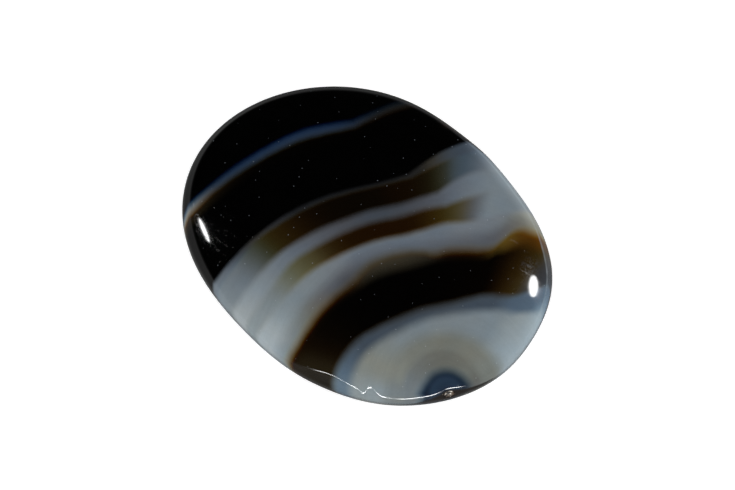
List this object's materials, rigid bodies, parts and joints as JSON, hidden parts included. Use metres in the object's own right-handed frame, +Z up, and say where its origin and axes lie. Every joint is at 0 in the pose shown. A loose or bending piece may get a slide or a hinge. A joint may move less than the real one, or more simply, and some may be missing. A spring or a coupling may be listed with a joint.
{
  "type": "agate cabochon",
  "caption": "Flat-backed oval cabochon of banded agate, with a low polished dome, a bevelled rim and black, smoky, blue-grey and milky bands.",
  "frame": {"origin": "middle of the flat underside", "axes": "+X along the stone to the end with the banded eye, +Z up out of the crown, +Y across the stone"},
  "size_m": [0.04, 0.0307, 0.006],
  "materials": {
    "banded_agate": "polished"
  },
  "bodies": {
    "root": {"agate_cabochon": "banded_agate"}
  },
  "joints": []
}
